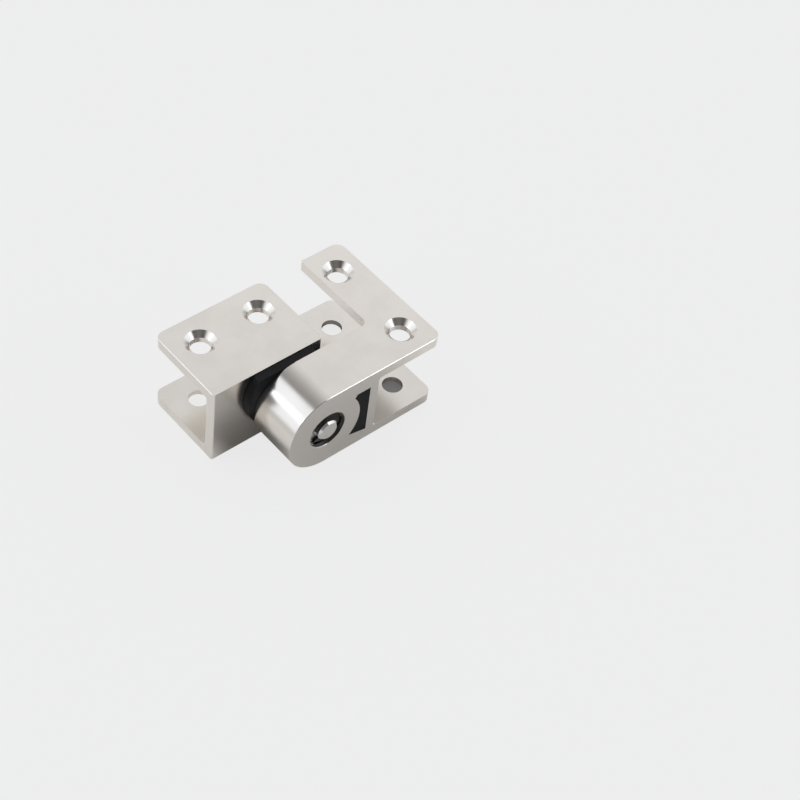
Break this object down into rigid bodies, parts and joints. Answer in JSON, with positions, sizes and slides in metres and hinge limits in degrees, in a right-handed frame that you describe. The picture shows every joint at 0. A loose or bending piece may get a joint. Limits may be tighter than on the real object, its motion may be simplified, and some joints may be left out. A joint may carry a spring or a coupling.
{
  "type": "toilet partition hinge",
  "caption": "Clamp-on pivot hinge for a toilet partition door: an open channel for the door turns on a pin in the barrel of an L-shaped clamp bracket for the post.",
  "frame": {"origin": "on the ground plane under the middle of the closed hinge, which lies with its plates level", "axes": "+X across the pin from the door bracket to the post bracket; +Y along the pin from the barrel's open face to the plates' far ends; +Z square to the plates, up"},
  "size_m": [0.0588, 0.0418, 0.024],
  "materials": {
    "satin_steel": "satin, finely brushed",
    "pin_steel": "turned, bright",
    "black_nylon": "moulded, low sheen",
    "black_steel": "blackened spring steel"
  },
  "bodies": {
    "post": {"post_bracket": "satin_steel", "bearing_washer": "black_nylon", "pin_bush": "black_nylon", "pin_washer": "pin_steel"},
    "door": {"door_bracket": "satin_steel", "hinge_pin": "pin_steel", "retaining_clip": "black_steel"}
  },
  "joints": [
    {"name": "door_swing", "type": "hinge", "parent": "post", "child": "door", "pos_m": [-0.0066, 0, 0.012], "axis": [0, 1, 0], "range_deg": [-120, 120]}
  ]
}
